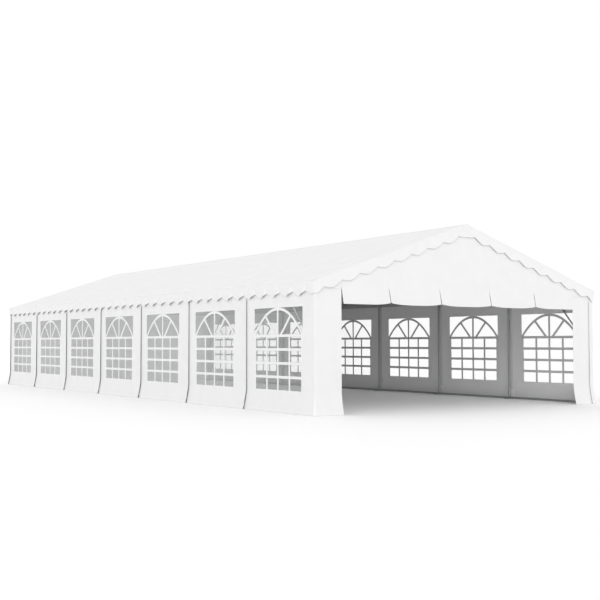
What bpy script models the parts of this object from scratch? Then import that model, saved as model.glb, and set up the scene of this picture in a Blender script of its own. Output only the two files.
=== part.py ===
# White marquee tent, 6 m wide and 14 m long, on a galvanised steel tube frame.
# The front end is open between two corner strips, and the back end is closed by two leaves.
# Origin: plan centre, on the ground. X across, Y along with the front at -Y, Z up. Metres.

import math

import bmesh
import bpy
from mathutils import Matrix, Vector

# Driving dimensions
SPAN = 6.0
BAY = 2.0
BAYS = 7
LENGTH = BAY * BAYS
EAVE_Z = 2.0
RIDGE_Z = 3.0
GAP = 0.0003  # left between pieces that touch

# Fabric
FABRIC_T = 0.006
OVERHANG = 0.030
HEM_Z = 0.003
SKIRT_Z = 0.33  # the walls hang straight down to here and flare out below
SKIRT_FLARE = 0.055
SKIRT_CURVE = 1.3
SKIRT_STEPS = 4
WALL_TOP = 1.985
END_TOP = 1.98
SEAM = 0.075  # from a post's line to the edge of the next wall sheet
STRIP_W = 0.5

# Windows, measured from the middle of their bay
WINDOW_LOW = 0.342
WINDOW_STEP = 1.18
WINDOW_HIGH = 1.6145
WINDOW_HALF = 0.684
WINDOW_HALF_LOW = 0.641
CLEAR_T = 0.002
CLEAR_EDGE = 0.022  # the clear sheet reaches this far past the windows

# Scalloped edges
EAVE_LOBE = 0.3583
EAVE_FIRST_CUSP = 0.217  # from the front corner
EAVE_CUSP_Z = 1.86
EAVE_LOBE_Z = 1.795
RAKE_LOBE = 0.3333
RAKE_FIRST_CUSP = 0.14  # from the ridge
RAKE_CUSP_DROP = 0.155
RAKE_LOBE_DROP = 0.225
GABLE_CUSPS = (0.54, 1.57, 2.49)  # from the middle, the same on both hands
GABLE_CUSP_Z = 1.68
GABLE_LOBE_Z = 1.645
GABLE_CORNER_Z = 1.94  # beyond the last cusp, where the corner strip covers the rest
LOBE_STEPS = 4
LOBE_FULLNESS = 0.6

# Frame
TUBE_R = 0.019
SLEEVE_R = 0.024
SLEEVE_L = 0.08
HOLE_R = TUBE_R + 0.0004
TUBE_SIDES = 8
FLAT = math.cos(math.pi / TUBE_SIDES)  # a bar's flats lie this share of its radius from its axis
FOOT_X = 0.16
FOOT_Y = 0.12
FOOT_T = 0.006
BRACE_R = 0.014
BRACE_FOOT_Z = 1.0
BRACE_REACH = 0.88  # along the eave, from the corner

SLOPE = math.atan2(RIDGE_Z - EAVE_Z, SPAN / 2)
FABRIC_DROP = FABRIC_T / math.cos(SLOPE)  # the roof's thickness, measured straight down
FRAME_X = SPAN / 2 - FABRIC_T - GAP - SLEEVE_R * FLAT
RAIL_LENGTH = LENGTH - 2 * (FABRIC_T + GAP)
END_FRAME_Y = RAIL_LENGTH / 2 - SLEEVE_L / 2

# Each side of the tent: its middle, and its turn about Z. Seen from outside, the side's own
# X runs to the right, and its own -Y points outwards.
SIDES = {
    "front": (Vector((0, -LENGTH / 2, 0)), 0),
    "right": (Vector((SPAN / 2, 0, 0)), 90),
    "back": (Vector((0, LENGTH / 2, 0)), 180),
    "left": (Vector((-SPAN / 2, 0, 0)), -90),
}


def clear_scene():
    for item in list(bpy.data.objects):
        bpy.data.objects.remove(item)


def new_collection(name):
    made = bpy.data.collections.new(name)
    bpy.context.scene.collection.children.link(made)
    return made


def new_material(name, colour, roughness, metallic, alpha=1.0):
    made = bpy.data.materials.new(name)
    made.use_nodes = True
    shader = made.node_tree.nodes["Principled BSDF"]
    shader.inputs["Base Color"].default_value = (*colour, 1)
    shader.inputs["Roughness"].default_value = roughness
    shader.inputs["Metallic"].default_value = metallic
    shader.inputs["Alpha"].default_value = alpha
    return made


def add_part(name, mesh, material, parent=None, location=(0, 0, 0)):
    """Puts a mesh into the tent as one named piece."""
    part = bpy.data.objects.new(name, mesh)
    if not mesh.materials:
        mesh.materials.append(material)
    part.parent = parent
    part.location = location
    TENT.objects.link(part)
    return part


def weld(mesh):
    """Joins the loose edges of a mesh and turns its faces outwards."""
    shape = bmesh.new()
    shape.from_mesh(mesh)
    bmesh.ops.remove_doubles(shape, verts=shape.verts, dist=0.00001)
    bmesh.ops.recalc_face_normals(shape, faces=shape.faces)
    shape.to_mesh(mesh)
    shape.free()
    return mesh


def new_curve(points, dimensions):
    """A curve of straight runs through (x, y, z) points."""
    curve = bpy.data.curves.new("line", "CURVE")
    curve.dimensions = dimensions
    spline = curve.splines.new("POLY")
    spline.points.add(len(points) - 1)
    for point, place in zip(spline.points, points):
        point.co = (*place, 1)
    return curve


def curve_mesh(curve):
    """The welded mesh of a curve, which is then removed."""
    holder = bpy.data.objects.new("line", curve)
    mesh = bpy.data.meshes.new_from_object(holder)
    bpy.data.objects.remove(holder)
    bpy.data.curves.remove(curve)
    return weld(mesh)


def prism(outline, depth):
    """A flat outline in the XY plane, with its thickness along Z."""
    curve = new_curve([(across, up, 0) for across, up in outline], "2D")
    curve.splines[0].use_cyclic_u = True
    curve.fill_mode = "BOTH"
    curve.extrude = depth / 2
    return curve_mesh(curve)


def bent_tube(points, radius):
    """A round bar that is bent through a line of points."""
    curve = new_curve(points, "3D")
    curve.bevel_depth = radius
    curve.bevel_resolution = TUBE_SIDES // 2 - 2
    curve.use_fill_caps = True
    return curve_mesh(curve)


def upright(outline, depth):
    """A flat outline in the XZ plane, with its thickness along Y."""
    mesh = prism(outline, depth)
    mesh.transform(Matrix.Rotation(math.pi / 2, 4, "X"))
    return mesh


def box(low, high):
    low, high = Vector(low), Vector(high)
    size = Matrix.Diagonal((*(high - low), 1))
    shape = bmesh.new()
    bmesh.ops.create_cube(shape, size=1, matrix=Matrix.Translation((low + high) / 2) @ size)
    mesh = bpy.data.meshes.new("box")
    shape.to_mesh(mesh)
    shape.free()
    return mesh


def tube(start, end, radius):
    """A straight round bar between two points, with flats to its sides, top and bottom."""
    start, end = Vector(start), Vector(end)
    turn = (end - start).to_track_quat("Z", "Y").to_matrix().to_4x4()
    turn @= Matrix.Rotation(math.pi / TUBE_SIDES, 4, "Z")
    shape = bmesh.new()
    bmesh.ops.create_cone(
        shape,
        cap_ends=True,
        segments=TUBE_SIDES,
        radius1=radius,
        radius2=radius,
        depth=(end - start).length,
        matrix=Matrix.Translation((start + end) / 2) @ turn,
    )
    mesh = bpy.data.meshes.new("tube")
    shape.to_mesh(mesh)
    shape.free()
    return mesh


def smooth(mesh):
    mesh.shade_smooth()
    mesh.set_sharp_from_angle(angle=math.radians(50))
    return mesh


def combine(base, **steps):
    """One mesh from a base mesh and the meshes that each Boolean step unites, cuts or keeps."""
    scene = bpy.context.scene.collection
    body = bpy.data.objects.new("body", base)
    scene.objects.link(body)
    tools = []
    for operation, meshes in steps.items():
        for mesh in meshes:
            tool = bpy.data.objects.new("tool", mesh)
            scene.objects.link(tool)
            tools.append(tool)
            step = body.modifiers.new(operation, "BOOLEAN")
            step.operation = operation.upper()
            step.object = tool
    shown = body.evaluated_get(bpy.context.evaluated_depsgraph_get())
    mesh = bpy.data.meshes.new_from_object(shown)
    for item in [body, *tools]:
        bpy.data.objects.remove(item)
    return weld(mesh)


def make_sides():
    """An empty at the middle of each side, which carries that side's pieces."""
    empties = {}
    for name, (middle, turn) in SIDES.items():
        empty = bpy.data.objects.new(name + "_side", None)
        empty.location = middle
        empty.rotation_euler.z = math.radians(turn)
        TENT.objects.link(empty)
        empties[name] = empty
    return empties


def skirt_section(top):
    """Section of a hanging wall: (depth, height) points, its outer face at depth 0."""
    outer = []
    for step in range(SKIRT_STEPS + 1):
        up = step / SKIRT_STEPS
        flare = SKIRT_FLARE * (1 - up) ** SKIRT_CURVE
        outer.append((-flare, HEM_Z + (SKIRT_Z - HEM_Z) * up))
    outer.append((0, top))
    inner = [(depth + FABRIC_T, height) for depth, height in outer]
    return outer + inner[::-1]


def hanging_wall(name, side, start, end, top):
    """A wall sheet between two places on its side, mitred where it meets the next side."""
    half = LENGTH / 2 if side in ("left", "right") else SPAN / 2
    mesh = prism(skirt_section(top), end - start)
    along_x = Matrix(((0, 0, 1, 0), (1, 0, 0, 0), (0, 1, 0, 0), (0, 0, 0, 1)))
    mesh.transform(along_x)
    for vertex in mesh.vertices:
        place, way = (end, 1) if vertex.co.x > 0 else (start, -1)
        if abs(abs(place) - half) < GAP:
            vertex.co.x = way * (half - vertex.co.y - GAP)
        else:
            vertex.co.x = place - way * GAP / 2
    return add_part(name, mesh, WHITE_PVC, EMPTIES[side])


def window_outline():
    """Outline of a window: its upper part is a little wider than the lower one."""
    right = [
        (WINDOW_HALF_LOW, WINDOW_LOW),
        (WINDOW_HALF_LOW, WINDOW_STEP),
        (WINDOW_HALF, WINDOW_STEP),
        (WINDOW_HALF, WINDOW_HIGH),
    ]
    left = [(-across, up) for across, up in right[::-1]]
    return right + left


def cut_window(wall, side, place, cutter_mesh):
    cutter = bpy.data.objects.new(wall.name + "_window", cutter_mesh)
    cutter.parent = EMPTIES[side]
    cutter.location.x = place
    cutter.hide_render = True
    cutter.display_type = "WIRE"
    CUTTERS.objects.link(cutter)
    cut = wall.modifiers.new("window", "BOOLEAN")
    cut.operation = "DIFFERENCE"
    cut.object = cutter


def side_walls():
    """Seven wall sheets on each long side, each with its window at the middle of the bay."""
    cutter_mesh = upright(window_outline(), 0.1)
    for side, way in (("left", -1), ("right", 1)):
        for bay in range(BAYS):
            front = bay * BAY - LENGTH / 2
            start = front if bay == 0 else front - SEAM
            end = LENGTH / 2 if bay == BAYS - 1 else front + BAY - SEAM
            start, end = sorted((way * start, way * end))
            wall = hanging_wall(f"{side}_wall_{bay + 1}", side, start, end, WALL_TOP)
            cut_window(wall, side, way * (front + BAY / 2), cutter_mesh)


def clear_sheets():
    """One clear sheet behind the windows of each long side."""
    inner = FABRIC_T + GAP
    reach = LENGTH / 2 - 0.01
    mesh = box(
        (-reach, inner, WINDOW_LOW - CLEAR_EDGE),
        (reach, inner + CLEAR_T, WINDOW_HIGH + CLEAR_EDGE),
    )
    for side in ("left", "right"):
        add_part(f"{side}_window_sheet", mesh, CLEAR_PVC, EMPTIES[side])


def end_walls():
    """A strip at each corner, and two leaves that close the back."""
    half = SPAN / 2
    for side in ("front", "back"):
        for hand, way in (("left", -1), ("right", 1)):
            start, end = sorted((way * (half - STRIP_W), way * half))
            hanging_wall(f"{side}_strip_{hand}", side, start, end, END_TOP)
    hanging_wall("back_leaf_left", "back", STRIP_W - half, 0, END_TOP)
    hanging_wall("back_leaf_right", "back", 0, half - STRIP_W, END_TOP)


def roof_z(across):
    """Height of the roof's upper face."""
    return RIDGE_Z - abs(across) * math.tan(SLOPE)


def under_roof(across):
    """Height of what hangs from the roof's lower face."""
    return roof_z(across) - FABRIC_DROP - GAP


def roof_cover():
    edge = SPAN / 2 + OVERHANG
    upper = [(-edge, roof_z(edge)), (0, RIDGE_Z), (edge, roof_z(edge))]
    lower = [(across, up - FABRIC_DROP) for across, up in upper]
    mesh = upright(upper + lower[::-1], LENGTH + 2 * OVERHANG)
    add_part("roof_cover", mesh, WHITE_PVC)


def lobe(phase):
    """How full a scallop is at a phase: 0 at its cusps, 1 at its lowest point."""
    return abs(math.sin(math.pi * phase)) ** LOBE_FULLNESS


def lobe_places(low, high, first_cusp, pitch):
    """Places along a scalloped edge, LOBE_STEPS of them a scallop, and its two ends."""
    step = pitch / LOBE_STEPS
    first = math.ceil((low - first_cusp) / step + 0.25)
    last = math.floor((high - first_cusp) / step - 0.25)
    return [low, *[first_cusp + step * count for count in range(first, last + 1)], high]


def eave_edge(low, high):
    """Lower edge of an eave valance, as (place, height) points."""
    edge = []
    for place in lobe_places(low, high, EAVE_FIRST_CUSP, EAVE_LOBE):
        fullness = lobe((place - EAVE_FIRST_CUSP) / EAVE_LOBE)
        edge.append((place, EAVE_CUSP_Z - (EAVE_CUSP_Z - EAVE_LOBE_Z) * fullness))
    return edge


def eave_valances():
    """A scalloped strip under each eave. Places run from the front corner to the back."""
    top = under_roof(SPAN / 2 + OVERHANG)
    edge = eave_edge(-OVERHANG, LENGTH + OVERHANG)
    for side, way in (("left", -1), ("right", 1)):
        lower = [(way * (place - LENGTH / 2), up) for place, up in edge]
        outline = lower + [(lower[-1][0], top), (lower[0][0], top)]
        mesh = upright(outline, FABRIC_T)
        place = (0, FABRIC_T / 2 - OVERHANG, 0)
        add_part(f"{side}_valance", mesh, WHITE_PVC, EMPTIES[side], place)


def rake_valances():
    """A scalloped strip under the roof's edge at each gable."""
    end = SPAN / 2 + OVERHANG - FABRIC_T - GAP
    right = lobe_places(0, end, RAKE_FIRST_CUSP, RAKE_LOBE)
    lower = []
    for place in [-place for place in right[:0:-1]] + right:
        fullness = lobe((abs(place) - RAKE_FIRST_CUSP) / RAKE_LOBE)
        drop = RAKE_CUSP_DROP + (RAKE_LOBE_DROP - RAKE_CUSP_DROP) * fullness
        lower.append((place, roof_z(place) - drop))
    outline = lower + [(end, under_roof(end)), (0, under_roof(0)), (-end, under_roof(end))]
    mesh = upright(outline, FABRIC_T)
    for side in ("front", "back"):
        place = (0, FABRIC_T / 2 - OVERHANG, 0)
        add_part(f"{side}_valance", mesh, WHITE_PVC, EMPTIES[side], place)


def gable_edge(end):
    """Lower edge of a gable panel, as (place, height) points."""
    cusps = [*[-cusp for cusp in GABLE_CUSPS[::-1]], *GABLE_CUSPS]
    steps = 2 * LOBE_STEPS
    edge = [(-end, GABLE_CORNER_Z), (cusps[0], GABLE_CORNER_Z), (cusps[0], GABLE_CUSP_Z)]
    for start, stop in zip(cusps, cusps[1:]):
        for step in range(1, steps + 1):
            fullness = lobe(step / steps)
            place = start + (stop - start) * step / steps
            edge.append((place, GABLE_CUSP_Z - (GABLE_CUSP_Z - GABLE_LOBE_Z) * fullness))
    return [*edge, (cusps[-1], GABLE_CORNER_Z), (end, GABLE_CORNER_Z)]


def gable_panels():
    """The triangle that closes each gable, with long shallow scallops along its foot."""
    end = SPAN / 2 - GAP
    top = [(end, under_roof(end)), (0, under_roof(0)), (-end, under_roof(end))]
    outline = gable_edge(end) + top
    mesh = upright(outline, FABRIC_T)
    for side in ("front", "back"):
        place = (0, -GAP - FABRIC_T / 2, 0)
        add_part(f"{side}_gable", mesh, WHITE_PVC, EMPTIES[side], place)


def frame_z(across):
    """Height of the frame's centreline, whose sleeves carry the roof."""
    return roof_z(across) - FABRIC_DROP - (SLEEVE_R + GAP) / math.cos(SLOPE)


def rail_places():
    """Where the rails run lengthwise through the frames' sleeves: (name, X, Z)."""
    places = [("ridge_rail", 0, frame_z(0))]
    for hand, way in (("left", -1), ("right", 1)):
        places.append((f"{hand}_purlin", way * SPAN / 4, frame_z(SPAN / 4)))
        places.append((f"{hand}_eave_rail", way * FRAME_X, frame_z(FRAME_X)))
    return places


def half_frame_mesh(way):
    """A post and its rafter on a foot plate, with a sleeve around each rail.

    The left one (way -1) carries the ridge sleeve, and the right one butts on that sleeve.
    """
    eave = frame_z(FRAME_X)
    ridge = frame_z(0)
    line = [(way * FRAME_X, 0, FOOT_T / 2), (way * FRAME_X, 0, eave), (0, 0, ridge)]
    body = bent_tube(line, TUBE_R)
    low, high = sorted((way * (FRAME_X + FOOT_X / 4), way * (FRAME_X - 3 * FOOT_X / 4)))
    added = [box((low, -FOOT_Y / 2, 0), (high, FOOT_Y / 2, FOOT_T))]
    removed = []
    for _, across, up in rail_places():
        if across * way < 0:
            continue
        if across == 0 and way > 0:
            bore = SLEEVE_R + GAP / FLAT
        else:
            bore = HOLE_R
            added.append(tube((across, -SLEEVE_L / 2, up), (across, SLEEVE_L / 2, up), SLEEVE_R))
        removed.append(tube((across, -SLEEVE_L, up), (across, SLEEVE_L, up), bore))
    return smooth(combine(body, union=added, difference=removed))


def half_frames():
    for hand, way in (("left", -1), ("right", 1)):
        mesh = half_frame_mesh(way)
        for line in range(BAYS + 1):
            along = line * BAY - LENGTH / 2
            along = max(-END_FRAME_Y, min(END_FRAME_Y, along))
            add_part(f"{hand}_frame_{line + 1}", mesh, STEEL, location=(0, along, 0))


def rails():
    mesh = smooth(tube((0, -RAIL_LENGTH / 2, 0), (0, RAIL_LENGTH / 2, 0), TUBE_R))
    for name, across, up in rail_places():
        add_part(name, mesh, STEEL, location=(across, 0, up))
    for hand, way in (("left", -1), ("right", 1)):
        across = way * (FRAME_X - TUBE_R - TUBE_R * FLAT - GAP)
        place = (across, 0, FOOT_T + TUBE_R * FLAT + GAP)
        add_part(f"{hand}_ground_rail", mesh, STEEL, location=place)


def knee_braces():
    """A brace from each corner post up to the eave rail, in the plane of the side wall."""
    depth = SPAN / 2 - FRAME_X
    post_face = END_FRAME_Y - TUBE_R - GAP
    rail_face = frame_z(FRAME_X) - TUBE_R * FLAT - GAP
    low = Vector((post_face, depth, BRACE_FOOT_Z))
    high = Vector((LENGTH / 2 - BRACE_REACH, depth, rail_face))
    spare = (high - low).normalized() * 4 * BRACE_R
    for side in ("left", "right"):
        for hand, way in (("front", 1), ("back", -1)):
            way = way if side == "left" else -way
            flip = Matrix.Diagonal((way, 1, 1, 1))
            inner, outer = sorted((way * (post_face - 2), way * post_face))
            room = box((inner, 0, 0), (outer, 4 * depth, rail_face))
            bar = tube(flip @ (low - spare), flip @ (high + spare), BRACE_R)
            mesh = smooth(combine(bar, intersect=[room]))
            add_part(f"{hand}_{side}_knee_brace", mesh, STEEL, EMPTIES[side])


clear_scene()
TENT = new_collection("marquee_tent")
CUTTERS = new_collection("cutters")
WHITE_PVC = new_material("white_pvc", (0.88, 0.88, 0.88), 0.45, 0.0)
CLEAR_PVC = new_material("clear_pvc", (0.92, 0.93, 0.93), 0.12, 0.0, alpha=0.35)
STEEL = new_material("galvanised_steel", (0.55, 0.56, 0.57), 0.42, 0.9)
EMPTIES = make_sides()

side_walls()
clear_sheets()
end_walls()
roof_cover()
eave_valances()
rake_valances()
gable_panels()
half_frames()
rails()
knee_braces()
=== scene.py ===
import math

import bmesh
import bpy
from mathutils import Matrix, Vector, noise


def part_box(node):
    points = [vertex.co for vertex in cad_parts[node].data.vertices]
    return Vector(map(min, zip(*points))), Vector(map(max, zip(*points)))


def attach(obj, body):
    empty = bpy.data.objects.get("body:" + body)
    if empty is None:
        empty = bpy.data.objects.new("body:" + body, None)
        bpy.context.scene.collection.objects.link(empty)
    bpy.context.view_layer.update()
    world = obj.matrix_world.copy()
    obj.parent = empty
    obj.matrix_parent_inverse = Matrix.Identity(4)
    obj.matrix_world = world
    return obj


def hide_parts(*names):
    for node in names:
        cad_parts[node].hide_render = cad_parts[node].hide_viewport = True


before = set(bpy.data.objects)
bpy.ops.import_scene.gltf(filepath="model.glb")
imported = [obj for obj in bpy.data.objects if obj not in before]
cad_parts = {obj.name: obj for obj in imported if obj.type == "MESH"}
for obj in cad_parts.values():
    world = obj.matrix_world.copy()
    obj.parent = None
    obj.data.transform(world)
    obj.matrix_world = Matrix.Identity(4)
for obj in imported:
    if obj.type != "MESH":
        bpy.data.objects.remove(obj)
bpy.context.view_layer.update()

# Driving sizes of the tent, in metres: X across, Y along with the front at -Y, Z up
SPAN = 6.0
BAY = 2.0
BAYS = 7
LENGTH = BAY * BAYS
HALF = SPAN / 2
REACH = LENGTH / 2
EAVE_Z = 2.0
RIDGE_Z = 3.0
RISE = (RIDGE_Z - EAVE_Z) / HALF  # of the roof, for each metre across
SLOPE = math.atan(RISE)
SIDES = (("left", -1), ("right", 1))

# Cloth
CLOTH_T = 0.0016
BAND_T = 0.001  # of welded strips, hems and bars
CLOTH_IN = 0.0025  # from the walls' plane in to the middle of the cloth
HEM_Z = 0.002
SKIRT_Z = 0.33
SKIRT_FLARE = 0.055
SKIRT_CURVE = 1.3
SKIRT_ROWS = 9
WALL_TOP = 1.972
HEM_W = 0.035
FOOT_HEM_W = 0.05
GRID = 0.05
SLIP = 0.001  # allowed where places or steps are compared

# Folds in the cloth: their depth, and how close they come along and up
BROAD_FOLD = (0.004, 1.3, 0.6)
FINE_FOLD = (0.0018, 4.5, 0.9)
SKIRT_FOLD = (0.016, 2.4, 0.8)
ROOF_FOLD = (0.003, 1.1, 0.9)
VALANCE_FOLD = (0.002, 2.1, 1.0)
GABLE_FOLD = (0.003, 1.2, 1.5)
SLACK_RUN = 0.35  # from a wall sheet's edges in to its full folds

# Wall sheets: each ends SEAM before the next post's line, under the next sheet's loose edge
SEAM = 0.075
SEAM_LAP = 0.012
LOOSE_TOP = 0.005
LOOSE_MID = 0.0145
LOOSE_FOOT = 0.007
LOOSE_FROM_Z = 1.84
LOOSE_RUN = 0.1  # down from there, to where LOOSE_MID is reached
LOOSE_W = 0.07
CORNER_LOOSE = 0.6  # of a loose edge, where the right wall ends on the front
WEBBING_W = 0.08
WEBBING_DROP = 0.006
TAPE_W = 0.085
STRIP_W = 0.5
LEFT_STRIP_W = 0.487
RIGHT_STRIP_W = 0.512
RIGHT_CORNER_LAP = 0.098  # the right wall's cloth runs this far round the front corner
CORNER_R = 0.014
CORNER_STEPS = 5

# Windows, from the middle of their bay
WINDOW_LOW = 0.342
WINDOW_STEP = 1.18
WINDOW_HIGH = 1.6145
WINDOW_HALF = 0.684
WINDOW_HALF_LOW = 0.641
WINDOW_BARS_UP = (WINDOW_STEP, 0.967, 0.754, 0.541)
WINDOW_BARS_ACROSS = (-0.32, 0.0, 0.32)
BAR_W = 0.04
BAR_END = 0.01  # past the opening's edge
BAR_LAYER = 0.0008  # between the upright bars and the level ones
BAR_BACK_W = 0.046
BAR_BACK_IN = -0.0026  # behind the film
ARCH_RISE = 0.415
ARCH_POWER = 2.1
ARCH_STEPS = 28
SPOKE_FOOT = 0.07
SPOKE_HEAD = 0.355
BORDER_W = 0.03
PANE_MARGIN = 0.02
PANE_T = 0.0008

# Roof
OVERHANG = 0.03
EDGE_IN = 0.004  # of cloth edges, inside the faces of the solids
ROOF_IN = 0.0055  # from the roof's plane down to the middle of the cloth
ROOF_HALF = HALF + OVERHANG - EDGE_IN
ROOF_REACH = REACH + OVERHANG - EDGE_IN
ROOF_CORNER_R = 0.012
ROOF_STEP_ACROSS = 0.1
ROOF_STEP_ALONG = 0.125
ROOF_SAG = 0.006
SAG_AT_RAILS = 0.35  # of the full sag
SAG_END = 0.3  # the sag fades over this width, out to the eave
RIDGE_BEND = 0.03
SEAM_BAND_W = 0.045
RIDGE_BAND_W = 0.06
ROOF_HEM_IN = 0.02

# Valances
EAVE_LOBE = 0.3583
EAVE_FIRST_CUSP = 0.217
EAVE_CUSP_Z = 1.845
EAVE_LOBE_Z = 1.772
RAKE_LOBE = 0.3333
RAKE_FIRST_CUSP = 0.175
RAKE_CUSP_DROP = 0.147
RAKE_LOBE_DROP = 0.208
LOBE_POWER = 1.35
LOBE_STEPS = 12
LOBE_CLEAR = 0.004  # of a lobe's places, from the ends of the strip
VALANCE_OUT = 0.027
VALANCE_ROWS = 7
CORNER_HEM_Z = 1.803
CORNER_RUN = 0.12  # from a corner to where a valance hangs freely
EAVE_HEM_OUT = 0.008  # of a valance's edge from the wall, where it hangs closest
EAVE_HEM_CURL = 0.034  # further out, near each lobe's first end
RAKE_HEM_OUT = 0.02
RAKE_HEM_CURL = 0.005
CORNER_HEM_OUT = 0.01  # of either valance's edge, at the tent's corners
CURL_PHASE = 0.22  # of a lobe, where its edge curls most
CURL_POWER = 1.5  # narrows the curl along the lobe
CURL_DOWN_POWER = 2.5  # keeps the curl near the edge
PIPING_R = 0.0016

# Gable flaps
GABLE_SLITS = (-2.487, -1.57, -0.54, 0.54, 1.57, 2.512)
GABLE_CUSP_Z = 1.68
GABLE_LOBE_Z = 1.651
GABLE_CORNER_Z = 1.875
GABLE_TOP_IN = 0.012
GABLE_OUT = 0.0035
GABLE_ROWS = 24
FLAP_HEM_W = 0.02
FLAP_POWER = 3
FLAP_OUT = 0.003
SLIT_TOP = 1.925
SLIT_GAP = 0.008
SLIT_PARTING = 6  # a slit is fully open at a sixth of its length
SLIT_REACH = 0.15  # of cloth that a slit draws aside
SLIT_LEAN = 0.045
SLIT_CURL = 0.007
SLIT_CURL_W = 0.22
LEAN_START_W = 0.8  # from the panel's left end in to the full lean
LEAN_END = 2.45
LEAN_END_W = 0.5
LEAN_TOP_H = 0.3  # the cloth above a slit is drawn too, over this height

# Steel tube
TUBE_R = 0.019
TUBE_SIDES = 16
SLEEVE_R = 0.0238
SLEEVE_L = 0.08
COLLAR_R = 0.0215
EAVE_COLLAR = 0.16  # down the post and up the rafter
RIDGE_COLLAR = 0.14
FOOT_COLLAR_Z = 0.12
RAFTER_GAP = 0.005  # from the ridge's middle line
COLLAR_GAP = 0.012
FOOT_X = 0.16
FOOT_Y = 0.12
FOOT_T = 0.006
FOOT_BEVEL = 0.0015
BRACE_R = 0.014
BRACE_FOOT_IN = (0.9 * BRACE_R, 1.17 * BRACE_R)  # along and up, from the solid's ends
BRACE_HEAD_IN = (1.08 * BRACE_R, 0.9 * BRACE_R)

# Bolts
BOLT_R = 0.0062
SLEEVE_BOLT = 0.3 * SLEEVE_L  # from the sleeve's middle
EAVE_BOLT = 0.11
RIDGE_BOLT = 0.09
FOOT_BOLT_Z = 0.06
BRACE_BOLT = 0.03


def middle(node):
    low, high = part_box(node)
    return (Vector(low) + Vector(high)) / 2


RIDGE_RAIL = middle("ridge_rail")
PURLIN = middle("right_purlin")
EAVE_RAIL = middle("right_eave_rail")
GROUND_RAIL = middle("right_ground_rail")
FRAME_X = EAVE_RAIL.x
FRAME_LINES = [middle(f"left_frame_{number}").y for number in range(1, BAYS + 2)]
RAIL_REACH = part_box("ridge_rail")[1][1]


# Camera and light

def new_object(name, data):
    """An object in the scene."""
    made = bpy.data.objects.new(name, data)
    bpy.context.scene.collection.objects.link(made)
    return made


def add_camera():
    """The photograph's view: from the left of the open front, about a metre above the ground."""
    data = bpy.data.cameras.new("camera")
    data.lens = 61.085
    data.sensor_width = 36
    data.shift_x = 0.0825
    camera = new_object("camera", data)
    camera.location = (-11.562, -19.2547, 1.0476)
    camera.rotation_euler = (math.radians(90 + 2.489), 0, math.radians(-31.334))
    bpy.context.scene.camera = camera


def add_studio():
    """White surroundings, a soft key from the front left, and a pale floor."""
    world = bpy.data.worlds.new("studio")
    world.use_nodes = True
    world.node_tree.nodes["Background"].inputs["Color"].default_value = (1, 1, 1, 1)
    world.node_tree.nodes["Background"].inputs["Strength"].default_value = 1.0
    bpy.context.scene.world = world
    bpy.context.scene.view_settings.view_transform = "Standard"
    key = bpy.data.lights.new("key", "SUN")
    key.energy = 1.0
    key.angle = math.radians(60)
    lamp = new_object("key", key)
    lamp.rotation_euler = Vector((0.56, 0.78, -0.26)).to_track_quat("-Z", "Y").to_euler()
    shape = bmesh.new()
    bmesh.ops.create_grid(shape, x_segments=1, y_segments=1, size=200)
    floor = new_object("floor", finished_mesh("floor", shape))
    floor.data.materials.append(plain_floor())


# Materials

def new_material(name):
    """A new material, its node tree and its Principled shader."""
    made = bpy.data.materials.new(name)
    made.use_nodes = True
    return made, made.node_tree, made.node_tree.nodes["Principled BSDF"]


def new_tree(kind, name, inputs, outputs):
    """A node tree with named sockets, and its input and output nodes."""
    tree = bpy.data.node_groups.new(name, kind)
    for direction, sockets in (("INPUT", inputs), ("OUTPUT", outputs)):
        for label, holds in sockets.items():
            tree.interface.new_socket(label, in_out=direction, socket_type="NodeSocket" + holds)
    return tree, tree.nodes.new("NodeGroupInput"), tree.nodes.new("NodeGroupOutput")


def use_group(tree, group, **values):
    node = tree.nodes.new("ShaderNodeGroup")
    node.node_tree = group
    for label, value in values.items():
        node.inputs[label].default_value = value
    return node


def math_node(tree, operation, *values):
    """A Math node on sockets or numbers."""
    node = tree.nodes.new("ShaderNodeMath")
    node.operation = operation
    for socket, value in zip(node.inputs, values):
        if isinstance(value, (int, float)):
            socket.default_value = value
        else:
            tree.links.new(value, socket)
    return node.outputs[0]


def range_node(tree, value, low, high, new_low, new_high):
    node = tree.nodes.new("ShaderNodeMapRange")
    numbers = (low, high, new_low, new_high)
    for label, number in zip(("From Min", "From Max", "To Min", "To Max"), numbers):
        node.inputs[label].default_value = number
    tree.links.new(value, node.inputs["Value"])
    return node.outputs["Result"]


def mix_node(tree, factor, first, second):
    """A mix of two RGB colours."""
    node = tree.nodes.new("ShaderNodeMix")
    node.data_type = "RGBA"
    tree.links.new(factor, node.inputs["Factor"])
    node.inputs["A"].default_value = (*first, 1)
    node.inputs["B"].default_value = (*second, 1)
    return node.outputs["Result"]


def bump_node(tree, height, strength, distance, normal=None):
    node = tree.nodes.new("ShaderNodeBump")
    node.inputs["Strength"].default_value = strength
    node.inputs["Distance"].default_value = distance
    tree.links.new(height, node.inputs["Height"])
    if normal is not None:
        tree.links.new(normal, node.inputs["Normal"])
    return node.outputs["Normal"]


def scrim_group():
    """The woven scrim that shows through the coating, over a flat UV map in metres."""
    inputs = {"Flat": "Vector", "Threads": "Float"}
    tree, given, result = new_tree("ShaderNodeTree", "scrim weave", inputs, {"Height": "Float"})
    split = tree.nodes.new("ShaderNodeSeparateXYZ")
    tree.links.new(given.outputs["Flat"], split.inputs[0])
    waves = []
    for axis in (0, 1):
        turns = math_node(tree, "MULTIPLY", split.outputs[axis], given.outputs["Threads"])
        waves.append(math_node(tree, "SINE", math_node(tree, "MULTIPLY", turns, 2 * math.pi)))
    height = math_node(tree, "MULTIPLY", waves[0], waves[1])
    tree.links.new(height, result.inputs["Height"])
    return tree


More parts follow.
